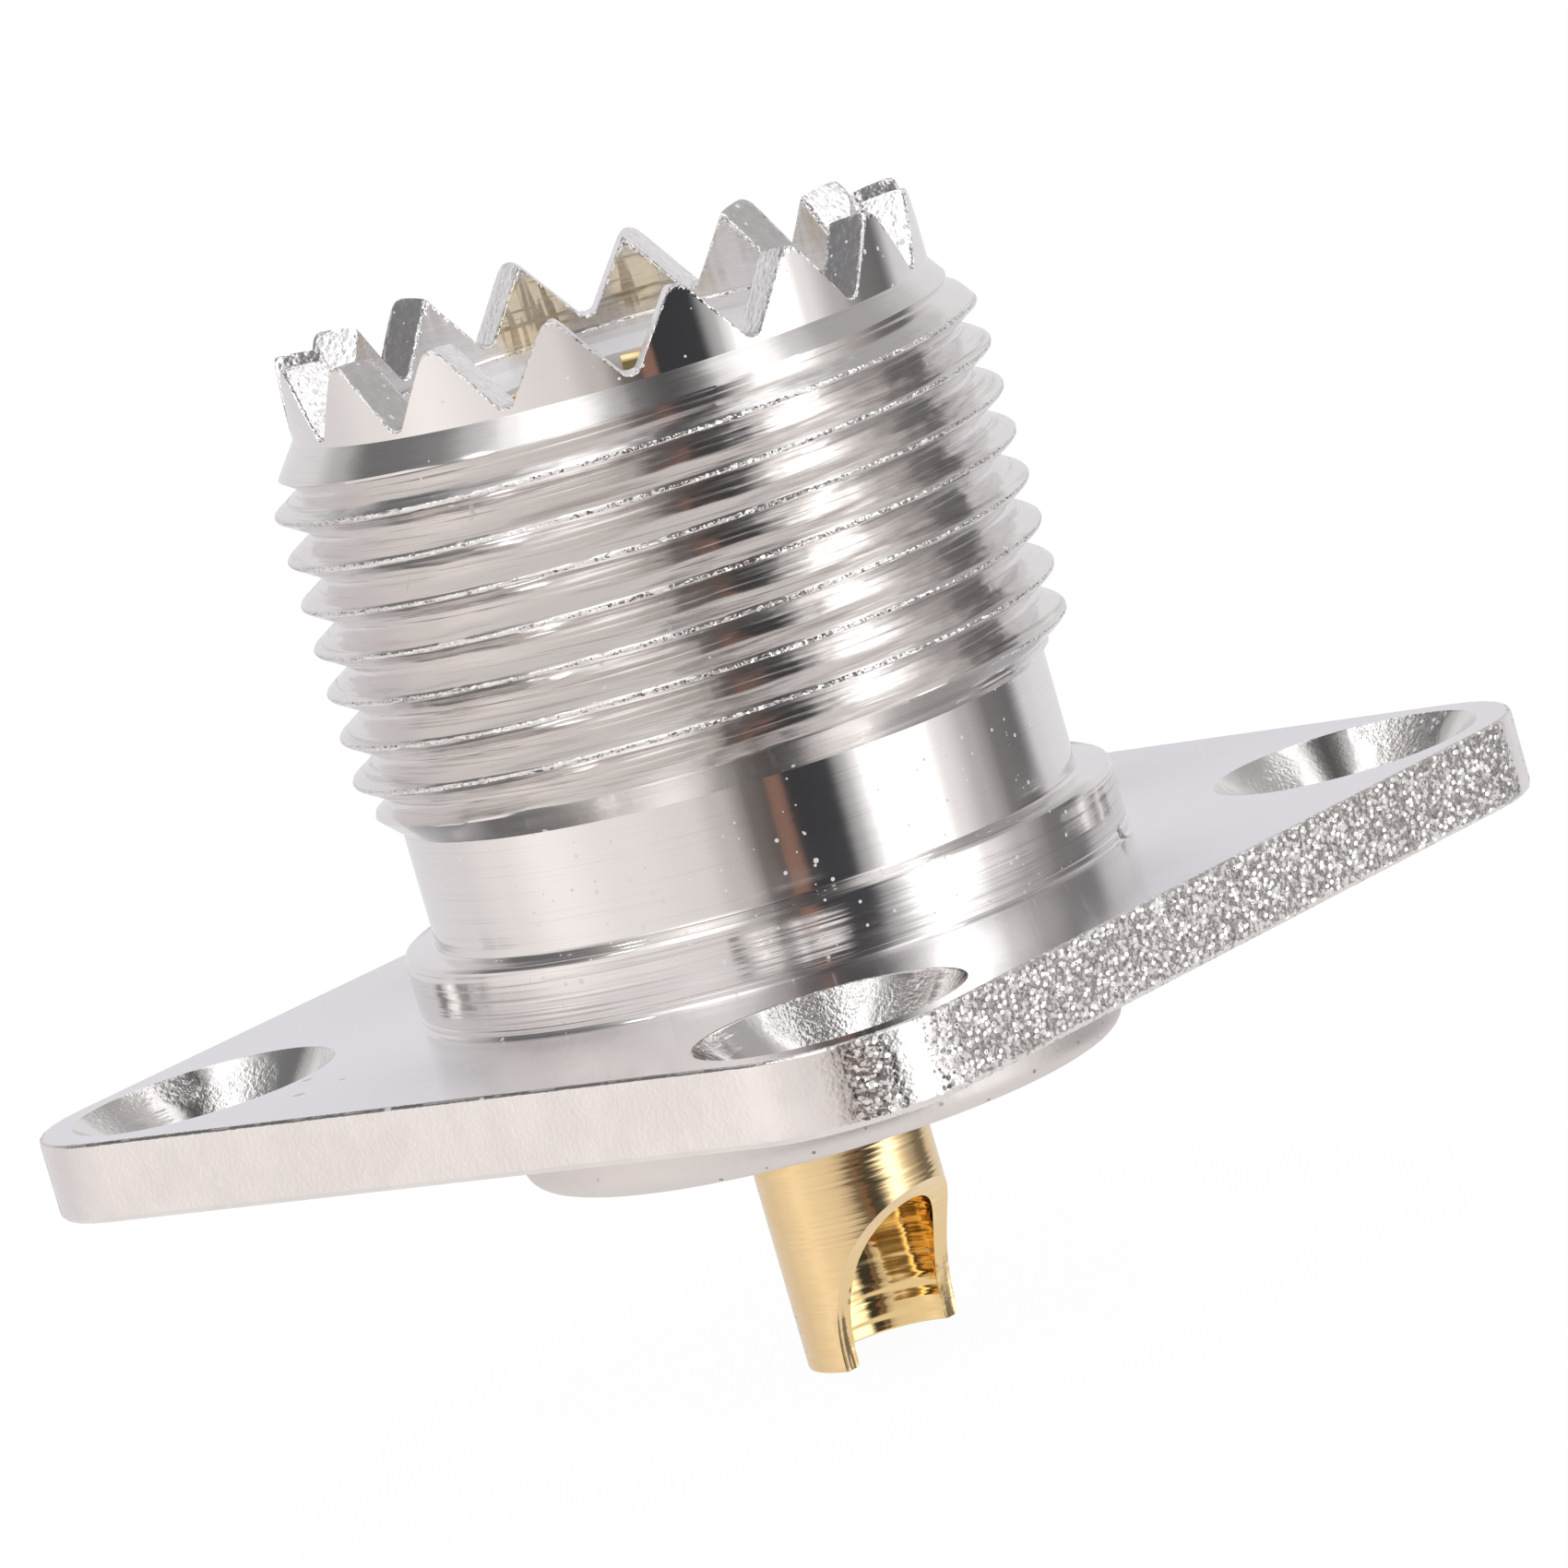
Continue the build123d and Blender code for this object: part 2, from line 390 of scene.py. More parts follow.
def outline(inset, steps=9, side=40):
    """Rounded square, inset from the flange's side."""
    radius = corner_radius - inset
    centre = flange_half - corner_radius
    points = []
    for q in range(4):
        start = math.pi / 2 * q
        sx, sy = CORNERS[q]
        for k in range(steps + 1):
            a = start + math.pi / 2 * k / steps
            points.append((sx * centre + radius * math.cos(a), sy * centre + radius * math.sin(a)))
        ex, ey = points[-1]
        nx, ny = CORNERS[(q + 1) % 4]
        b = math.pi / 2 * (q + 1)
        fx, fy = nx * centre + radius * math.cos(b), ny * centre + radius * math.sin(b)
        for k in range(1, side):
            points.append((ex + (fx - ex) * k / side, ey + (fy - ey) * k / side))
    return points


def build_flange(s, foot, boss_foot):
    """Adds the flange's side and four countersunk holes; returns the flat faces' loops."""
    sides = np.linspace(LOWER_EDGE[-1][1], flange_side_top, 9)[1:]
    levels = [*LOWER_EDGE, *((0.0, z) for z in sides), *UPPER_EDGE]
    rings = []
    for inset, z in levels:
        points = [(x, y, z) for x, y in outline(inset)]
        n = len(points)
        rings.append(s.loose(points, float(BURRED_LINE[0] < z < BURRED_LINE[1])))
    for a, b in zip(rings, rings[1:]):
        s.bridge(a, b, CAST, n)
    top_loops = [(rings[-1], n), (foot, count)]
    bottom_loops = [(rings[0], n), (boss_foot, count)]
    m = 96
    for sx, sy in CORNERS:
        cx, cy = sx * hole_offset, sy * hole_offset
        profile = [(sink_radius + 0.02, flange_top), (sink_radius - 0.02, flange_top - 0.02)]
        cone_end = (hole_radius + 0.02, sink_floor + 0.02)
        profile += spread((sink_radius - 0.04, flange_top - 0.04), cone_end, 5)
        profile += [(hole_radius, sink_floor - 0.02), (hole_radius, 0.05), (hole_radius + 0.05, 0)]
        hole_rings = []
        for r, z in profile:
            circle = [TURN * k / m for k in range(m)]
            points = [(cx + r * math.cos(a), cy + r * math.sin(a), z) for a in circle]
            hole_rings.append(s.loose(points))
        for a, b in zip(hole_rings, hole_rings[1:]):
            for i in range(m):
                j = (i + 1) % m
                s.face((a + i, b + i, b + j, a + j), SINK)
        top_loops.append((hole_rings[0], m))
        bottom_loops.append((hole_rings[-1], m))
    return top_loops, bottom_loops


def fill_loops(bm, table, loops, mark, up):
    """Fills the flat face between loops of points and marks its rim as sharp."""
    edges = []
    for first, n in loops:
        for i in range(n):
            a, b = table[first + i], table[first + (i + 1) % n]
            e = bm.edges.get((a, b)) or bm.edges.new((a, b))
            e.smooth = False
            edges.append(e)
    made = bmesh.ops.triangle_fill(bm, use_beauty=True, use_dissolve=False, edges=edges)
    for f in made["geom"]:
        if isinstance(f, bmesh.types.BMFace):
            f.material_index = mark
            f.normal_update()
            if (f.normal.z > 0) != up:
                f.normal_flip()


def make_shell():
    """The whole shell as one closed mesh, with its attributes and sharp edges."""
    points, foot, boss_foot = build_shell()
    top_loops, bottom_loops = build_flange(points, foot, boss_foot)
    shell = object_from("shell_body", points.verts, points.faces, points.marks)
    for name, values in (("phase", points.phase), ("edge", points.edge)):
        attribute = shell.data.attributes.new(name, "FLOAT", "POINT")
        attribute.data.foreach_set("value", np.array(values, np.float32))
    bm = bmesh.new()
    bm.from_mesh(shell.data)
    table = list(bm.verts)
    fill_loops(bm, table, top_loops, FACE, True)
    fill_loops(bm, table, bottom_loops, FACE, False)
    bmesh.ops.remove_doubles(bm, verts=bm.verts, dist=merge_distance * MM)
    bmesh.ops.dissolve_degenerate(bm, edges=bm.edges, dist=shortest_edge * MM)
    unused = [v for v in bm.verts if not v.link_faces]
    bmesh.ops.delete(bm, geom=unused, context="VERTS")
    open_edges = [e for e in bm.edges if len(e.link_faces) != 2]
    print("shell faces", len(bm.faces), "edges without two faces", len(open_edges))
    for f in bm.faces:
        f.smooth = True
    for e in bm.edges:
        if len(e.link_faces) == 2 and e.calc_face_angle(0) > math.radians(sharp_degrees):
            e.smooth = False
    bmesh.ops.recalc_face_normals(bm, faces=bm.faces)
    bm.to_mesh(shell.data)
    bm.free()
    return shell


shell = make_shell()


# ---- centre contact -----------------------------------------------------------------------

def lathe_object(name, profile, segments):
    """A closed turned solid from (radius, height) pairs that start and end on the axis."""
    verts, faces = [], []
    rings = []
    for r, z in profile:
        if r == 0:
            rings.append((len(verts), 1))
            verts.append((0, 0, z))
        else:
            rings.append((len(verts), segments))
            for k in range(segments):
                a = TURN * k / segments
                verts.append((r * math.cos(a), r * math.sin(a), z))
    for (a, na), (b, nb) in zip(rings, rings[1:]):
        for i in range(segments):
            j = (i + 1) % segments
            if na == 1:
                faces.append((a, b + j, b + i))
            elif nb == 1:
                faces.append((a + i, a + j, b))
            else:
                faces.append((a + i, a + j, b + j, b + i))
    return object_from(name, verts, faces)


def box_object(name, low, high):
    verts = list(itertools.product(*zip(low, high)))
    faces = [(0, 1, 3, 2), (4, 6, 7, 5), (0, 4, 5, 1), (2, 3, 7, 6), (0, 2, 6, 4), (1, 5, 7, 3)]
    return object_from(name, verts, faces)


def cut(obj, cutters):
    """Subtracts the cutters from obj for good."""
    for c in cutters:
        mod = obj.modifiers.new("cut", "BOOLEAN")
        mod.operation = "DIFFERENCE"
        mod.solver = "EXACT"
        mod.object = c
        dg = bpy.context.evaluated_depsgraph_get()
        made = bpy.data.meshes.new_from_object(obj.evaluated_get(dg))
        obj.modifiers.clear()
        old = obj.data
        obj.data = made
        bpy.data.meshes.remove(old)
    for c in cutters:
        bpy.data.objects.remove(c)


def sharpen(obj, degrees):
    """Smooth shading, with edges sharper than the angle kept crisp."""
    bm = bmesh.new()
    bm.from_mesh(obj.data)
    bmesh.ops.recalc_face_normals(bm, faces=bm.faces)
    for f in bm.faces:
        f.smooth = True
    for e in bm.edges:
        e.smooth = not (len(e.link_faces) == 2 and e.calc_face_angle(0) > math.radians(degrees))
    bm.to_mesh(obj.data)
    bm.free()


def recalc_normals(obj):
    bm = bmesh.new()
    bm.from_mesh(obj.data)
    bmesh.ops.recalc_face_normals(bm, faces=bm.faces)
    bm.to_mesh(obj.data)
    bm.free()


def contact_profile():
    """Outline of the turned contact, from the cup's floor round to the socket's floor."""
    bore_point = socket_bore / math.tan(math.radians(drill_half_angle))
    cup_point = cup_bore / math.tan(math.radians(drill_half_angle))
    tip = insulator_front
    profile = [
        (0, cup_floor + cup_point), (cup_bore, cup_floor), (cup_bore, stem_end + 0.04),
        (cup_bore + 0.04, stem_end), (stem_radius - 0.06, stem_end),
        (stem_radius - 0.018, stem_end + 0.018), (stem_radius, stem_end + 0.06),
    ]
    profile += spread((stem_radius, stem_end + 0.2), (stem_radius, contact_collar_rear), 12)
    profile += [
        (contact_collar_radius, contact_collar_rear), (contact_collar_radius, contact_collar_front),
        (socket_radius, contact_collar_front), (socket_radius, tip - tip_chamfer),
    ]
    profile += arc(socket_radius - tip_chamfer, tip - tip_chamfer, tip_chamfer, 15, 90, 5)
    profile += arc(socket_bore + tip_round, tip - tip_round, tip_round, 90, 180, 5)
    profile += [(socket_bore, socket_floor), (0, socket_floor - bore_point)]
    return profile


def slot_cutters():
    """Two crossed boxes that cut the socket into four fingers."""
    cutters = []
    for degrees in (45, 135):
        low = (-slot_reach, -slot_half_width, insulator_front - slot_length)
        high = (slot_reach, slot_half_width, insulator_front + 1)
        slot = box_object("slot_cutter", low, high)
        slot.data.transform(Matrix.Rotation(math.radians(degrees), 4, "Z"))
        cutters.append(slot)
    return cutters


def window_cutter_object():
    """The round cutter that opens the solder cup's side, as a block with an arched end."""
    centre_x, centre_z = window_offset + window_cutter, window_deepest
    shape = [
        (centre_x + window_cutter * math.cos(a), centre_z + window_cutter * math.sin(a))
        for a in np.linspace(0, math.pi, 160)
    ]
    shape += [(window_offset, stem_end - 1), (centre_x + window_cutter, stem_end - 1)]
    m = len(shape)
    verts = [(x, y, z) for y in (-window_half_width, window_half_width) for x, z in shape]
    faces = [tuple(range(m)), tuple(range(2 * m - 1, m - 1, -1))]
    faces += [(i, i + m, (i + 1) % m + m, (i + 1) % m) for i in range(m)]
    return object_from("window_cutter", verts, faces)


def build_contact():
    """Turned contact with its slots and the solder cup's window cut out."""
    contact = lathe_object("centre_contact_gold", contact_profile(), 160)
    cutters = slot_cutters() + [window_cutter_object()]
    for obj in cutters + [contact]:
        recalc_normals(obj)
    cut(contact, cutters)
    sharpen(contact, 30)
    return contact


contact = build_contact()


# ---- materials ----------------------------------------------------------------------------

class Nodes:
    """Short helpers round one material's node tree. Its positions are in metres."""

    def __init__(self, name):
        self.material = bpy.data.materials.new(name)
        self.material.use_nodes = True
        self.tree = self.material.node_tree
        self.bsdf = self.tree.nodes["Principled BSDF"]
        self.coord = self.tree.nodes.new("ShaderNodeTexCoord").outputs["Object"]

    def add(self, kind, inputs=None, **settings):
        node = self.tree.nodes.new(kind)
        for key, value in settings.items():
            setattr(node, key, value)
        for key, value in (inputs or {}).items():
            self.put(node.inputs[key], value)
        return node

    def put(self, socket, value):
        if isinstance(value, bpy.types.NodeSocket):
            self.tree.links.new(value, socket)
        else:
            socket.default_value = value

    def math(self, operation, a, b=0.0):
        return self.add("ShaderNodeMath", {0: a, 1: b}, operation=operation).outputs[0]

    def product(self, *values):
        total = values[0]
        for value in values[1:]:
            total = self.math("MULTIPLY", total, value)
        return total

    def total(self, *values):
        result = values[0]
        for value in values[1:]:
            result = self.math("ADD", result, value)
        return result

    def step(self, value, low, high, out_low=0.0, out_high=1.0):
        node = self.add("ShaderNodeMapRange", {0: value, 1: low, 2: high, 3: out_low, 4: out_high})
        node.interpolation_type = "SMOOTHSTEP"
        return node.outputs[0]

    def mix(self, factor, a, b):
        node = self.add("ShaderNodeMix", data_type="RGBA")
        for index, value in ((0, factor), (6, a), (7, b)):
            self.put(node.inputs[index], value)
        return node.outputs[2]

    def position(self, *scale):
        scale = scale * 3 if len(scale) == 1 else scale
        return self.add("ShaderNodeMapping", {"Vector": self.coord, "Scale": scale}).outputs[0]

    def axis(self, index):
        return self.add("ShaderNodeSeparateXYZ", {0: self.coord}).outputs[index]

    def vector(self, operation, a, b=None, scale=None, out=0):
        """A vector operation; out is "Value" where the result is a number."""
        inputs = {0: a}
        if b is not None:
            inputs[1] = b
        if scale is not None:
            inputs["Scale"] = scale
        return self.add("ShaderNodeVectorMath", inputs, operation=operation).outputs[out]

    def flat(self):
        """The position with its height left out."""
        return self.position(1, 1, 0)

    def radius(self):
        return self.vector("LENGTH", self.flat(), out="Value")

    def rings(self, scale):
        """A position that changes with the distance from the axis only."""
        along = self.math("MULTIPLY", self.radius(), scale)
        return self.add("ShaderNodeCombineXYZ", {0: along, 1: 0.37, 2: 0.71}).outputs[0]

    def noise(self, vector, detail=2.0, roughness=0.5, w=None):
        inputs = {"Vector": vector, "Scale": 1.0, "Detail": detail, "Roughness": roughness}
        if w is None:
            return self.add("ShaderNodeTexNoise", inputs, noise_dimensions="3D").outputs[0]
        node = self.add("ShaderNodeTexNoise", {}, noise_dimensions="4D")
        for key, value in {**inputs, "W": w}.items():
            self.put(node.inputs[key], value)
        return node.outputs[0]

    def signed(self, value, size):
        """A noise value moved to both sides of zero."""
        return self.math("MULTIPLY", self.math("SUBTRACT", value, 0.5), size)

    def attribute(self, name):
        return self.add("ShaderNodeAttribute", attribute_name=name).outputs["Fac"]

    def spot(self, degrees, radius, height, size):
        """A soft round patch about a point given by its angle, radius and height in mm."""
        a = math.radians(degrees)
        centre = (radius * math.cos(a) * MM, radius * math.sin(a) * MM, height * MM)
        away = self.vector("DISTANCE", self.coord, centre, out="Value")
        return self.step(away, size * MM, size * 0.5 * MM)

    def speck_dots(self, scale, size, share):
        """Pinhead specks: small discs in a random share of cells."""
        cells = self.add("ShaderNodeTexVoronoi", {"Vector": self.position(scale), "Scale": 1.0})
        chosen = self.add("ShaderNodeSeparateColor", {0: cells.outputs["Color"]})
        few = self.math("LESS_THAN", chosen.outputs[0], share)
        radius = self.math("MULTIPLY", chosen.outputs[1], size)
        return self.product(self.math("LESS_THAN", cells.outputs["Distance"], radius), few)

    def round_axis(self):
        """The direction of the turning lines, round the axis."""
        return self.add("ShaderNodeTangent", direction_type="RADIAL", axis="Z").outputs[0]

    def leaned(self, normal, lean):
        return self.vector("NORMALIZE", self.vector("ADD", normal, lean))

    def tilted(self, along, up, normal=None):
        """The surface normal, leaned along the turning direction and along the axis."""
        if normal is None:
            normal = self.add("ShaderNodeNewGeometry").outputs["Normal"]
        side = self.vector("SCALE", self.round_axis(), scale=along)
        rise = self.add("ShaderNodeCombineXYZ", {2: up}).outputs[0]
        return self.leaned(normal, self.vector("ADD", side, rise))

    def leaned_out(self, amount, normal):
        """A normal leaned away from the axis by an amount."""
        outward = self.vector("NORMALIZE", self.flat())
        return self.leaned(normal, self.vector("SCALE", outward, scale=amount))

    def brushed(self, amount):
        """Reflections stretched across the turning lines."""
        self.out("Anisotropic", amount)
        self.out("Anisotropic Rotation", 0.25)
        self.out("Tangent", self.round_axis())

    def bump(self, height, strength, distance, normal=None):
        inputs = {"Height": height, "Strength": strength, "Distance": distance}
        if normal is not None:
            inputs["Normal"] = normal
        return self.add("ShaderNodeBump", inputs).outputs[0]

    def out(self, name, value):
        self.put(self.bsdf.inputs[name], value)


NICKEL = (0.80, 0.775, 0.765, 1)
NICKEL_WORN = (0.56, 0.53, 0.51, 1)
# White of the specks and beads: painted glints, partly dust.
DUST_AND_GLINT = (0.98, 0.98, 0.98, 1)
NICK_DARK = (0.12, 0.11, 0.11, 1)
PIT = (0.45, 0.44, 0.44, 1)
CAST_LINE = (0.36, 0.33, 0.31, 1)
CAST_GLINT = (0.99, 0.98, 0.97, 1)
BOSS_SPECK = (0.36, 0.32, 0.28, 1)
GOLD_REFLECTION_DARK = (0.62, 0.53, 0.38, 1)
GOLD_REFLECTION_BRIGHT = (1.0, 0.87, 0.62, 1)
CUP_GOLD = (0.84, 0.62, 0.30, 1)
BORE_GOLD = (0.40, 0.35, 0.17, 1)

# Spots on the plate, as angle in degrees, then radius, height and size in millimetres; the gold
# spots are a painted reflection of the gold contact, the burr spot is a painted glint, and the nick
# and pits are marks in the plate
GOLD_REFLECTION_SPOTS = ((123.75, mouth_radius, 15.45, 0.80), (147.5, mouth_radius, 15.35, 1.25))
FOOT_NICK = (26.8, 7.97, 1.90, 0.26)
FOOT_BURR_GLINT = (-129.8, 8.04, 1.86, 0.13)
FACE_PITS = ((-122.1, 10.97, 1.8, 0.15), (-115.1, 11.64, 1.8, 0.18), (-115.0, 10.61, 1.8, 0.10))


def thread_nickel():
    """Coupling thread: long tool streaks along the helix, sparkling burrs on the crests, and white
    dots that are painted glints, partly dust.
    """
    n = Nodes("nickel_thread")
    phase, edge = n.attribute("phase"), n.attribute("edge")
    height = n.axis(2)
    bevel = n.math("MAXIMUM", n.step(height, 0.01375, 0.01405), n.step(height, 0.0069, 0.0066))
    calm = n.math("SUBTRACT", 1.0, n.product(bevel, 0.8))
    streak = n.noise(n.position(420, 420, 420), 2.0, 0.6, w=n.math("MULTIPLY", phase, 17.0))
    thin = n.noise(n.position(200, 200, 13000), 2.0, 0.6)
    wander = n.noise(n.position(1500, 1500, 5200), 2.0, 0.6)
    grit = n.noise(n.position(9000), 2.0, 0.7)
    sway = n.total(n.signed(streak, 0.12), n.signed(thin, 0.12), n.signed(wander, 0.14))
    along = n.product(sway, calm)
    up = n.product(n.total(n.signed(thin, 0.75), n.signed(streak, 0.45)), calm)
    spark = n.product(n.signed(grit, 2.6), edge)
    n.out("Normal", n.tilted(n.total(along, spark), n.total(up, spark)))
    # White beads on the crests and specks over the thread are painted glints, partly dust.
    painted_glint_beads = n.product(n.speck_dots(7000, 0.36, 0.22), n.step(edge, 0.35, 0.8))
    speck_dots = n.math("MAXIMUM", n.speck_dots(2100, 0.16, 0.12), painted_glint_beads)
    worn = n.mix(n.product(n.step(thin, 0.47, 0.33), 0.75, calm), NICKEL, NICKEL_WORN)
    n.out("Base Color", n.mix(speck_dots, worn, DUST_AND_GLINT))
    n.out("Roughness", n.total(0.10, n.product(streak, 0.10)))
    n.out("Metallic", n.math("SUBTRACT", 1.0, speck_dots))
    n.brushed(0.5)
    return n.material


def turned_nickel(name, rough, lines, ripple, share):
    """Turned walls: crisp upright reflections, fine tool lines, and white specks that are painted
    glints, partly dust, with a painted glint on a burr at the foot.
    """
    n = Nodes(name)
    fine = n.noise(n.position(160, 160, 17000), 2.0, 0.6)
    broad = n.noise(n.position(300, 300, 3200), 2.0, 0.5)
    slow = n.noise(n.position(520, 520, 160), 1.0, 0.5)
    edge = n.attribute("edge")
    grit = n.noise(n.position(8000), 2.0, 0.7)
    spark = n.product(n.signed(grit, 3.0), edge)
    along = n.total(n.signed(fine, lines * 0.35), n.signed(slow, ripple), spark)
    up = n.total(n.signed(fine, lines * 2.2), n.signed(broad, lines), spark)
    n.out("Normal", n.tilted(along, up))
    # White specks are painted glints, partly dust; the burr spot at the collar's foot is a painted
    # glint.
    speck_dots = n.math("MAXIMUM", n.speck_dots(2300, 0.17, share), n.speck_dots(5200, 0.26, share * 0.7))
    speck_dots = n.math("MAXIMUM", speck_dots, n.spot(*FOOT_BURR_GLINT))
    worn = n.mix(n.product(n.step(fine, 0.46, 0.32), lines * 4), NICKEL, NICKEL_WORN)
    nick = n.product(n.spot(*FOOT_NICK), n.step(grit, 0.32, 0.46))
    n.out("Base Color", n.mix(nick, n.mix(speck_dots, worn, DUST_AND_GLINT), NICK_DARK))
    n.out("Roughness", n.total(rough, n.product(broad, 0.04)))
    n.out("Metallic", n.math("SUBTRACT", 1.0, speck_dots))
    n.brushed(0.7)
    return n.material


def face_nickel():
    """Flange faces: faced on the lathe, ringed and a little rougher close to the collar."""
    n = Nodes("nickel_face")
    near = n.step(n.radius(), 0.0130, 0.0090)
    ring = n.noise(n.rings(7130.0), 2.0, 0.6)
    broad_ring = n.noise(n.rings(1470.0), 1.0, 0.5)
    mottle = n.noise(n.position(700), 3.0, 0.55)
    grit = n.noise(n.position(2600), 2.0, 0.5)
    lean = n.product(n.total(n.signed(ring, 0.07), n.signed(broad_ring, 0.05)), near)
    cloudy = n.bump(n.total(n.product(mottle, 0.7), n.product(grit, 0.1)), 0.10, 0.00003)
    n.out("Normal", n.leaned_out(lean, cloudy))
    pit = n.speck_dots(900, 0.06, 0.30)
    for place in FACE_PITS + (FOOT_NICK,):
        pit = n.math("MAXIMUM", pit, n.spot(*place))
    pale = n.mix(mottle, (0.785, 0.775, 0.795, 1), (0.815, 0.80, 0.815, 1))
    n.out("Base Color", n.mix(pit, pale, PIT))
    n.out("Roughness", n.total(0.11, n.product(near, 0.06), n.product(grit, 0.04)))
    n.out("Metallic", 1.0)
    n.brushed(0.9)
    return n.material


def cast_nickel():
    """Flange sides: two rubbed nearly smooth with a few white painted glints, two as cast with
    bright facets and white painted glints on their grain.
    """
    n = Nodes("nickel_cast")
    x, y = (n.math("ABSOLUTE", n.axis(k)) for k in (0, 1))
    past = n.math("SUBTRACT", x, y)
    rubbed = n.product(n.step(past, 0.0009, 0.0013), n.step(past, 0.0025, 0.0020))
    coarse = n.product(n.step(past, -0.0006, 0.0005), n.math("SUBTRACT", 1.0, rubbed))
    cells = n.add("ShaderNodeTexVoronoi", {"Vector": n.position(9000, 6400, 9000), "Scale": 1.0})
    lean = n.add("ShaderNodeSeparateColor", {0: cells.outputs["Color"]})
    disc = n.product(n.step(cells.outputs["Distance"], 0.55, 0.35), coarse)
    grain = n.noise(n.position(9500, 6600, 9500), 1.0, 0.5)
    lumps = n.noise(n.position(2600), 2.0, 0.5)
    cloud = n.noise(n.position(900), 2.0, 0.5)
    # Painted glints: white grain peaks on the cast sides and a few white dots on the rubbed ones.
    peak_glints = n.product(n.step(grain, 0.54, 0.64), coarse, n.step(lumps, 0.30, 0.50, 0.45, 1.0))
    few = n.product(n.speck_dots(2600, 0.26, 0.10), n.math("SUBTRACT", 1.0, coarse))
    height = n.total(grain, n.product(lumps, 0.8), n.product(cloud, 0.8))
    bumped = n.bump(height, n.total(0.24, n.product(coarse, 0.45)), 0.00004)
    along = n.product(n.signed(lean.outputs[0], 1.1), disc)
    up = n.product(n.signed(lean.outputs[1], 0.7), disc)
    n.out("Normal", n.tilted(along, up, bumped))
    edge = n.attribute("edge")
    pale = n.mix(n.step(cloud, 0.35, 0.65), (0.78, 0.745, 0.73, 1), (0.82, 0.785, 0.77, 1))
    broken = n.step(n.noise(n.position(1500, 1500, 300), 2.0, 0.6), 0.42, 0.56)
    dark_line = n.product(edge, broken, 0.6)
    # The painted glints are white and less metallic.
    bright = n.math("MAXIMUM", peak_glints, n.product(few, 0.8))
    n.out("Base Color", n.mix(bright, n.mix(dark_line, pale, CAST_LINE), CAST_GLINT))
    blur = n.product(edge, n.math("SUBTRACT", 1.0, broken), 0.35)
    n.out("Roughness", n.total(0.13, n.product(coarse, 0.17), n.product(disc, -0.12), blur))
    n.out("Metallic", n.math("SUBTRACT", 1.0, n.product(bright, 0.85)))
    return n.material


def milled_nickel():
    """Flanks and tips of the crown's teeth: milled, burred along their edges, with white painted
    glints on the edges and over the faces.
    """
    n = Nodes("nickel_milled")
    grain = n.noise(n.position(4200), 2.0, 0.6)
    grit = n.noise(n.position(11000), 2.0, 0.7)
    lines = n.noise(n.position(1400, 1400, 12000), 2.0, 0.5)
    edge = n.attribute("edge")
    spark = n.product(n.signed(grit, 3.0), n.total(0.10, n.product(edge, 0.9)))
    dimple = n.noise(n.position(7000), 1.0, 0.5)
    bumped = n.bump(n.total(grain, dimple, n.product(lines, 0.5)), 0.42, 0.00004)
    n.out("Normal", n.tilted(spark, spark, bumped))
    # White beads on the burred edges and over the faces are painted glints.
    edge_glint_beads = n.product(n.speck_dots(6000, 0.50, 0.8), n.step(edge, 0.2, 0.7))
    painted_glint_beads = n.math("MAXIMUM", edge_glint_beads, n.speck_dots(5200, 0.42, 0.28))
    pale = n.mix(n.step(grain, 0.3, 0.7), (0.82, 0.80, 0.80, 1), (0.90, 0.88, 0.88, 1))
    n.out("Base Color", n.mix(painted_glint_beads, pale, DUST_AND_GLINT))
    n.out("Roughness", n.total(0.16, n.product(grit, 0.10)))
    n.out("Metallic", n.math("SUBTRACT", 1.0, painted_glint_beads))
    return n.material


def sink_nickel():
    """Countersinks: rough plate in patches, with chatter lines round the cone and white painted
    glints on the rough patches.
    """
    n = Nodes("nickel_countersink")
    grain = n.noise(n.position(9500), 2.0, 0.55)
    patch = n.step(n.noise(n.position(620), 1.0, 0.5), 0.42, 0.58)
    lines = n.noise(n.position(500, 500, 9000), 2.0, 0.5)
    height = n.total(n.product(grain, patch), n.product(lines, 0.35), n.product(grain, 0.12))
    n.out("Normal", n.bump(height, 0.55, 0.00004))
    # White beads on the rough patches are painted glints.
    painted_glint_beads = n.product(n.speck_dots(5600, 0.40, 0.35), patch)
    pale = n.mix(grain, (0.78, 0.755, 0.745, 1), (0.82, 0.80, 0.79, 1))
    n.out("Base Color", n.mix(painted_glint_beads, pale, DUST_AND_GLINT))
    n.out("Roughness", n.total(0.12, n.product(patch, 0.06)))
    n.out("Metallic", n.math("SUBTRACT", 1.0, painted_glint_beads))
    return n.material


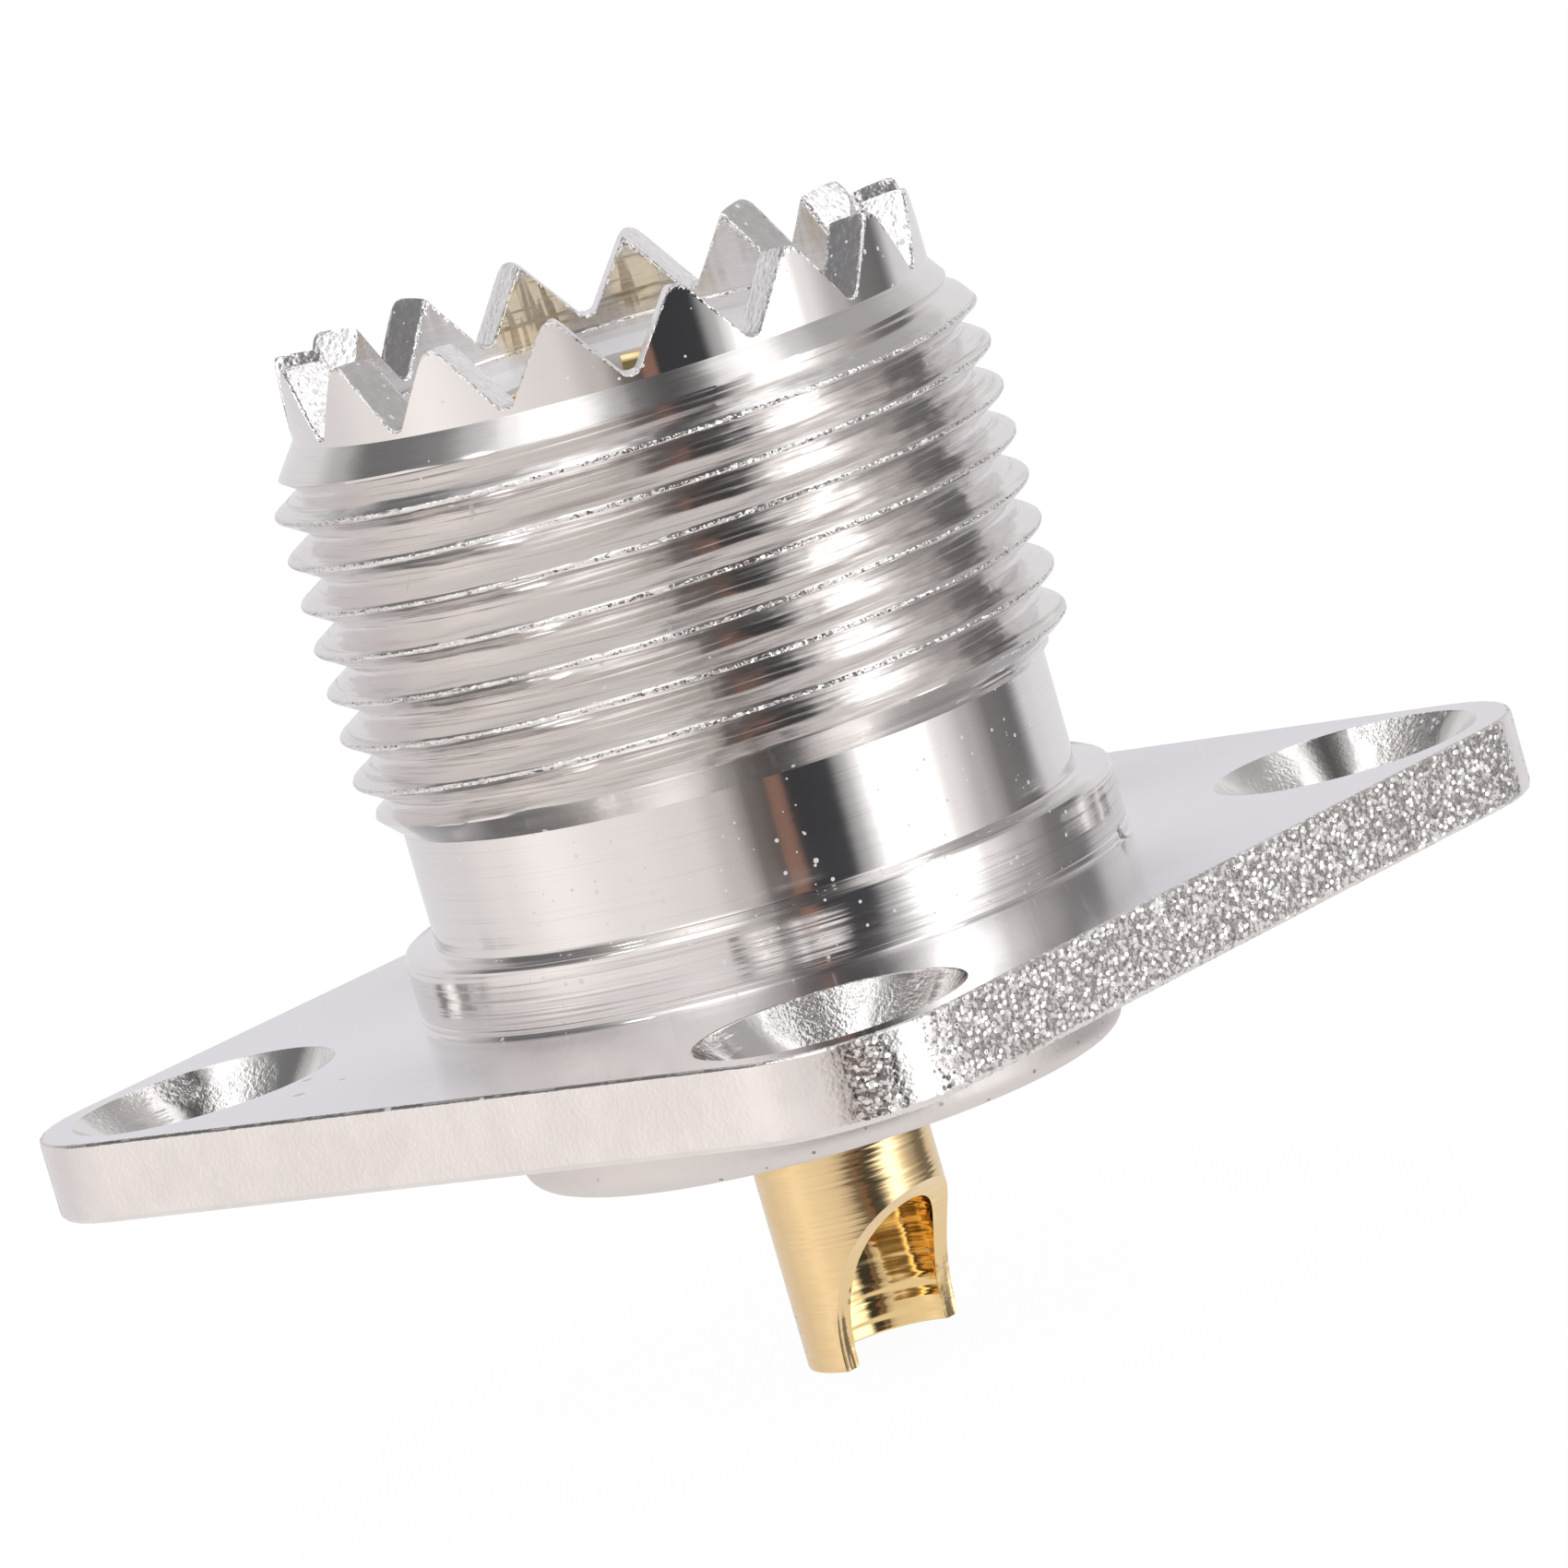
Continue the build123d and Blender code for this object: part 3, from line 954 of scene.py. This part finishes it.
def bore_nickel():
    """Inside of the crown: bored, crossed by fine tool lines, with a painted reflection of the gold
    contact in patches and white painted glints on its edges.
    """
    n = Nodes("nickel_bore")
    lines = n.noise(n.position(220, 220, 12000), 2.0, 0.6)
    chatter = n.noise(n.position(5200, 5200, 500), 1.0, 0.5)
    grit = n.noise(n.position(9000), 2.0, 0.7)
    edge = n.attribute("edge")
    spark = n.product(n.signed(grit, 3.0), edge)
    along = n.total(n.signed(chatter, 0.20), n.signed(lines, 0.06), spark)
    up = n.total(n.signed(lines, 0.16), spark)
    n.out("Normal", n.tilted(along, up))
    # White beads on the burred edges are painted glints.
    painted_glint_beads = n.product(n.speck_dots(7000, 0.50, 0.6), n.step(edge, 0.3, 0.8))
    # Gold patches at two teeth are a painted reflection of the gold contact, with brighter painted
    # ribs.
    gold_reflection = n.math("MAXIMUM", *(n.spot(*place) for place in GOLD_REFLECTION_SPOTS))
    cross = n.noise(n.position(4200, 4200, 400), 1.0, 0.5)
    rung = n.noise(n.position(300, 300, 7000), 1.0, 0.5)
    reflection_ribs = n.product(n.step(cross, 0.40, 0.48), n.step(rung, 0.38, 0.48))
    reflected_gold = n.mix(reflection_ribs, GOLD_REFLECTION_DARK, GOLD_REFLECTION_BRIGHT)
    pale = n.mix(lines, (0.82, 0.795, 0.79, 1), (0.90, 0.88, 0.87, 1))
    n.out("Base Color", n.mix(painted_glint_beads, n.mix(n.product(gold_reflection, 0.8), pale, reflected_gold), DUST_AND_GLINT))
    n.out("Roughness", n.total(0.16, n.product(grit, 0.05)))
    # The painted glints and part of the painted gold reflection are made less metallic.
    dull = n.math("MAXIMUM", painted_glint_beads, n.product(gold_reflection, reflection_ribs, 0.6))
    n.out("Metallic", n.math("SUBTRACT", 1.0, dull))
    return n.material


def satin_nickel():
    """Rear boss: blasted, so it only shows soft shading, darker and speckled at its rim."""
    n = Nodes("nickel_satin")
    grain = n.noise(n.position(5200), 2.0, 0.5)
    cloud = n.noise(n.position(420), 2.0, 0.5)
    rim = n.step(n.axis(2), -0.0016, -0.0021)
    speck = n.product(n.speck_dots(4200, 0.24, 0.35), rim)
    n.out("Normal", n.bump(n.total(grain, n.product(cloud, 0.8)), 0.22, 0.00003))
    pale = n.mix(cloud, (0.76, 0.72, 0.70, 1), (0.83, 0.79, 0.775, 1))
    n.out("Base Color", n.mix(speck, pale, BOSS_SPECK))
    n.out("Roughness", n.total(0.44, n.product(grain, 0.10)))
    n.out("Metallic", 1.0)
    return n.material


def gold():
    """Gold plate over turned brass: satin outside, ribbed inside, darker and rougher in the
    socket's bore.
    """
    n = Nodes("gold_plate")
    height, radius = n.axis(2), n.radius()
    hair = n.noise(n.position(120, 120, 30000), 2.0, 0.6)
    thin = n.noise(n.position(330, 330, 15000), 2.0, 0.65)
    patch = n.step(n.noise(n.position(500, 500, 900), 1.0, 0.5), 0.36, 0.62)
    cloud = n.noise(n.position(900), 2.0, 0.5)
    cup = n.step(height, -0.0030, -0.0034)
    inside = n.product(n.step(radius, 0.00172, 0.00160), cup)
    rib = n.noise(n.position(200, 200, 5200), 1.0, 0.5)
    waves = n.noise(n.position(1700, 1700, 260), 1.0, 0.5)
    outer = n.product(n.signed(thin, 0.55), n.total(0.25, n.product(patch, 0.75)))
    along = n.total(outer, n.product(n.signed(waves, 0.5), inside))
    up = n.total(n.signed(hair, 0.30), n.product(n.signed(rib, 1.2), inside))
    x = n.axis(0)
    milled = n.product(n.step(x, 0.0001, 0.00015), n.step(x, 0.00045, 0.00030))
    cut = n.product(milled, n.step(height, -0.0062, -0.0068))
    stripe = n.noise(n.position(300, 9000, 200), 1.0, 0.5)
    n.out("Normal", n.tilted(n.total(along, n.product(n.signed(stripe, 1.6), cut)), up))
    # Darker colour and higher roughness deep in the socket's bore.
    deep = n.product(n.step(radius, 0.00206, 0.00202), n.step(height, 0.0045, 0.0052))
    bore = n.product(deep, n.step(height, 0.01432, 0.01418))
    plate = n.mix(cloud, (0.82, 0.60, 0.31, 1), (0.87, 0.67, 0.39, 1))
    n.out("Base Color", n.mix(bore, n.mix(inside, plate, CUP_GOLD), BORE_GOLD))
    n.out("Roughness", n.total(0.20, n.product(inside, -0.07), n.product(bore, 0.22)))
    n.out("Metallic", 1.0)
    n.brushed(0.4)
    return n.material


def ptfe():
    """White fluoropolymer: waxy, with turned rings."""
    n = Nodes("fluoropolymer")
    mottle = n.noise(n.position(900), 3.0, 0.5)
    ring = n.noise(n.rings(12000.0), 2.0, 0.5)
    n.out("Normal", n.bump(n.total(ring, mottle), 0.12, 0.00003))
    n.out("Base Color", n.mix(mottle, (0.87, 0.87, 0.92, 1), (0.92, 0.92, 0.96, 1)))
    n.out("Roughness", n.total(0.36, n.product(mottle, 0.1)))
    n.out("Subsurface Weight", 0.15)
    n.out("Subsurface Scale", 0.0004)
    return n.material


# in the order of the face marks from NECK to CROWN
for material in (
    turned_nickel("nickel_neck", 0.10, 0.04, 0.07, 0.45),
    face_nickel(),
    cast_nickel(),
    milled_nickel(),
    sink_nickel(),
    bore_nickel(),
    thread_nickel(),
    turned_nickel("nickel_collar", 0.12, 0.15, 0.06, 0.25),
    satin_nickel(),
    turned_nickel("nickel_crown", 0.04, 0.01, 0.03, 0.35),
):
    shell.data.materials.append(material)
contact.data.materials.append(gold())
white = ptfe()
for node in ("front_insulator", "rear_insulator"):
    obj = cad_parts[node]
    if not obj.material_slots:
        obj.data.materials.append(white)
    for slot in obj.material_slots:
        slot.link = "OBJECT"
        slot.material = white

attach(shell, "root")
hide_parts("shell")
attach(contact, "root")
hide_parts("centre_contact")


# ---- floor, light and camera --------------------------------------------------------------

VIEW_AZIMUTH = math.radians(-47.3612)
TENT_BACK = (0.80, 0.79, 0.82)
FLOOR_RADIUS = 400
FLOOR_GLOW = 1.03
FLOOR_GLOW_SHARE = 0.93


def stage_floor():
    """Pale round floor under the lowest point; it shows white, and keeps a soft shadow."""
    low = cad_low.z / MM
    n = 96
    turns = [TURN * k / n for k in range(n)]
    verts = [(0, 0, low)]
    verts += [(FLOOR_RADIUS * math.cos(a), FLOOR_RADIUS * math.sin(a), low) for a in turns]
    floor = object_from("floor", verts, [(0, k + 1, (k + 1) % n + 1) for k in range(n)])
    material = bpy.data.materials.new("floor_pale")
    material.use_nodes = True
    tree = material.node_tree
    tree.nodes.clear()
    add, link = tree.nodes.new, tree.links.new
    path, geo = add("ShaderNodeLightPath"), add("ShaderNodeNewGeometry")
    diffuse, glow = add("ShaderNodeBsdfDiffuse"), add("ShaderNodeEmission")
    clear, out = add("ShaderNodeBsdfTransparent"), add("ShaderNodeOutputMaterial")
    seen, own, ghost = (add("ShaderNodeMixShader") for _ in range(3))
    diffuse.inputs[0].default_value = (0.9, 0.9, 0.9, 1)
    own.inputs[0].default_value = FLOOR_GLOW_SHARE
    glow.inputs[1].default_value = FLOOR_GLOW
    link(diffuse.outputs[0], own.inputs[1])
    link(glow.outputs[0], own.inputs[2])
    link(path.outputs["Is Camera Ray"], seen.inputs[0])
    link(diffuse.outputs[0], seen.inputs[1])
    link(own.outputs[0], seen.inputs[2])
    either = add("ShaderNodeMath")
    either.operation = "MAXIMUM"
    link(geo.outputs["Backfacing"], either.inputs[0])
    link(path.outputs["Is Glossy Ray"], either.inputs[1])
    link(either.outputs[0], ghost.inputs[0])
    link(seen.outputs[0], ghost.inputs[1])
    link(clear.outputs[0], ghost.inputs[2])
    link(ghost.outputs[0], out.inputs[0])
    floor.data.materials.append(material)


def studio_world():
    """Light tent. Its bands are set by the angle at which a turned wall mirrors them."""
    world = bpy.data.worlds.new("studio")
    bpy.context.scene.world = world
    world.use_nodes = True
    tree = world.node_tree
    tree.nodes.clear()
    add, link = tree.nodes.new, tree.links.new
    direction = add("ShaderNodeTexCoord").outputs["Generated"]
    split = add("ShaderNodeSeparateXYZ")
    link(direction, split.inputs[0])

    def calc(operation, a, b=0.0):
        node = add("ShaderNodeMath")
        node.operation = operation
        for socket, value in zip(node.inputs, (a, b)):
            if isinstance(value, bpy.types.NodeSocket):
                link(value, socket)
            else:
                socket.default_value = value
        return node.outputs[0]

    def dot(vector):
        node = add("ShaderNodeVectorMath")
        node.operation = "DOT_PRODUCT"
        link(direction, node.inputs[0])
        node.inputs[1].default_value = vector
        return node.outputs["Value"]

    def between(value, low, high):
        node = add("ShaderNodeMapRange")
        node.interpolation_type = "SMOOTHSTEP"
        link(value, node.inputs[0])
        node.inputs[1].default_value, node.inputs[2].default_value = low, high
        return node.outputs[0]

    def blend(factor, a, b):
        node = add("ShaderNodeMix")
        node.data_type = "RGBA"
        link(factor, node.inputs[0])
        link(a, node.inputs[6])
        link(b, node.inputs[7])
        return node.outputs[2]

    towards = dot((math.cos(VIEW_AZIMUTH), math.sin(VIEW_AZIMUTH), 0))
    across = dot((-math.sin(VIEW_AZIMUTH), math.cos(VIEW_AZIMUTH), 0))
    # nearly 1 is added, so this is the angle of the mirroring wall, half that of the ray
    wall = calc("ARCTAN2", across, calc("ADD", towards, 0.995))
    part = calc("ADD", calc("DIVIDE", wall, math.pi), 0.5)

    def ramp(stops):
        node = add("ShaderNodeValToRGB")
        node.color_ramp.interpolation = "EASE"
        elements = node.color_ramp.elements
        while len(elements) > 1:
            elements.remove(elements[-1])
        for k, (degrees, colour) in enumerate(stops):
            value = colour if isinstance(colour, tuple) else (colour, colour, colour)
            e = elements[0] if k == 0 else elements.new(degrees / 180 + 0.5)
            e.position = degrees / 180 + 0.5
            e.color = (*value, 1)
        link(part, node.inputs[0])
        return node.outputs[0]

    level = ramp([
        (-90, TENT_BACK), (-60, (0.83, 0.80, 0.81)), (-48, (0.95, 0.91, 0.89)),
        (-36, (1.12, 1.07, 1.04)), (-22, (0.96, 0.92, 0.90)), (-10, (0.86, 0.82, 0.80)),
        (-3, (0.62, 0.58, 0.56)), (1.5, (0.19, 0.17, 0.16)), (4.2, (0.13, 0.11, 0.105)),
        (5.2, (0.30, 0.17, 0.13)), (6.8, (0.30, 0.17, 0.13)), (7.8, (0.05, 0.05, 0.055)),
        (15.5, (0.055, 0.055, 0.06)), (18.5, 0.50), (20.5, 0.95), (23, 1.9), (26, 2.5),
        (30, 2.4), (33, 1.7), (37, (0.98, 0.96, 0.95)), (44, (0.54, 0.52, 0.51)),
        (51.5, (0.22, 0.21, 0.21)), (58, (0.18, 0.175, 0.18)), (64, (0.78, 0.76, 0.78)),
        (70, (0.84, 0.83, 0.85)), (90, TENT_BACK),
    ])
    above = ramp([
        (-90, (0.88, 0.88, 0.90)), (-68, 0.80), (-58, 0.52), (-50, 0.19),
        (-42, (0.20, 0.20, 0.21)), (-34, 0.26), (-26, 0.60), (-20, 1.15), (-13, 1.7),
        (-7, 1.35), (-2, 0.55), (3, (0.17, 0.16, 0.16)), (8, 0.09), (12.5, 0.20), (17, 0.95),
        (21, 1.35), (26, 1.3), (31, 0.72), (38, (0.46, 0.45, 0.45)), (50, (0.46, 0.45, 0.45)),
        (60, 0.64), (70, 0.86), (90, (0.88, 0.87, 0.89)),
    ])
    below = add("ShaderNodeRGB").outputs[0]
    below.default_value = (0.92, 0.90, 0.89, 1)
    height = split.outputs[2]
    walls_up = blend(between(height, 0.24, 0.42), level, above)
    # the bands narrow to a line straight behind the object, so they fade out there
    behind = add("ShaderNodeRGB").outputs[0]
    behind.default_value = (*TENT_BACK, 1)
    walls_up = blend(between(towards, -0.965, -0.985), walls_up, behind)
    tent = blend(between(height, -0.34, -0.55), walls_up, below)
    light, plain = add("ShaderNodeBackground"), add("ShaderNodeBackground")
    both = add("ShaderNodeMixShader")
    link(tent, light.inputs[0])
    path, out = add("ShaderNodeLightPath"), add("ShaderNodeOutputWorld")
    link(path.outputs["Is Camera Ray"], both.inputs[0])
    link(light.outputs[0], both.inputs[1])
    link(plain.outputs[0], both.inputs[2])
    plain.inputs[0].default_value = (1, 1, 1, 1)
    link(both.outputs[0], out.inputs[0])


def soft_lamp(name, turn, rise, level, size=0.12, distance=1.0):
    """Small soft box, placed by its angle from the view's azimuth and above the horizon."""
    data = bpy.data.lights.new(name, "AREA")
    data.size = size
    data.energy = level * math.pi * size * size
    lamp = bpy.data.objects.new(name, data)
    bpy.context.scene.collection.objects.link(lamp)
    a, e = VIEW_AZIMUTH + math.radians(turn), math.radians(rise)
    d = Vector((math.cos(a) * math.cos(e), math.sin(a) * math.cos(e), math.sin(e)))
    lamp.location = d * distance
    lamp.rotation_mode = "QUATERNION"
    lamp.rotation_quaternion = d.to_track_quat("Z", "Y")
    lamp.visible_camera = False


def photo_camera():
    """Camera fitted to the photograph: place, rolled axes and lens."""
    data = bpy.data.cameras.new("camera")
    cam = bpy.data.objects.new("camera", data)
    bpy.context.scene.collection.objects.link(cam)
    right = Vector((0.73821199, 0.61649412, -0.27382121))
    up = Vector((0.10512345, 0.2958237, 0.94944057))
    ahead = Vector((-0.66632733, 0.72967345, -0.15357261))
    spot = Vector((0.163854397, -0.177948118, 0.0422398657))
    cam.matrix_world = Matrix((
        (right.x, up.x, -ahead.x, spot.x),
        (right.y, up.y, -ahead.y, spot.y),
        (right.z, up.z, -ahead.z, spot.z),
        (0, 0, 0, 1),
    ))
    data.sensor_width = 36
    data.lens = 259.7103
    data.clip_start, data.clip_end = 0.01, 20
    bpy.context.scene.camera = cam


stage_floor()
studio_world()
soft_lamp("glint_side", 62, 38, 8.0)
soft_lamp("glint_left", -60, 42, 7.0)
photo_camera()
view = bpy.context.scene.view_settings
view.view_transform = "Standard"
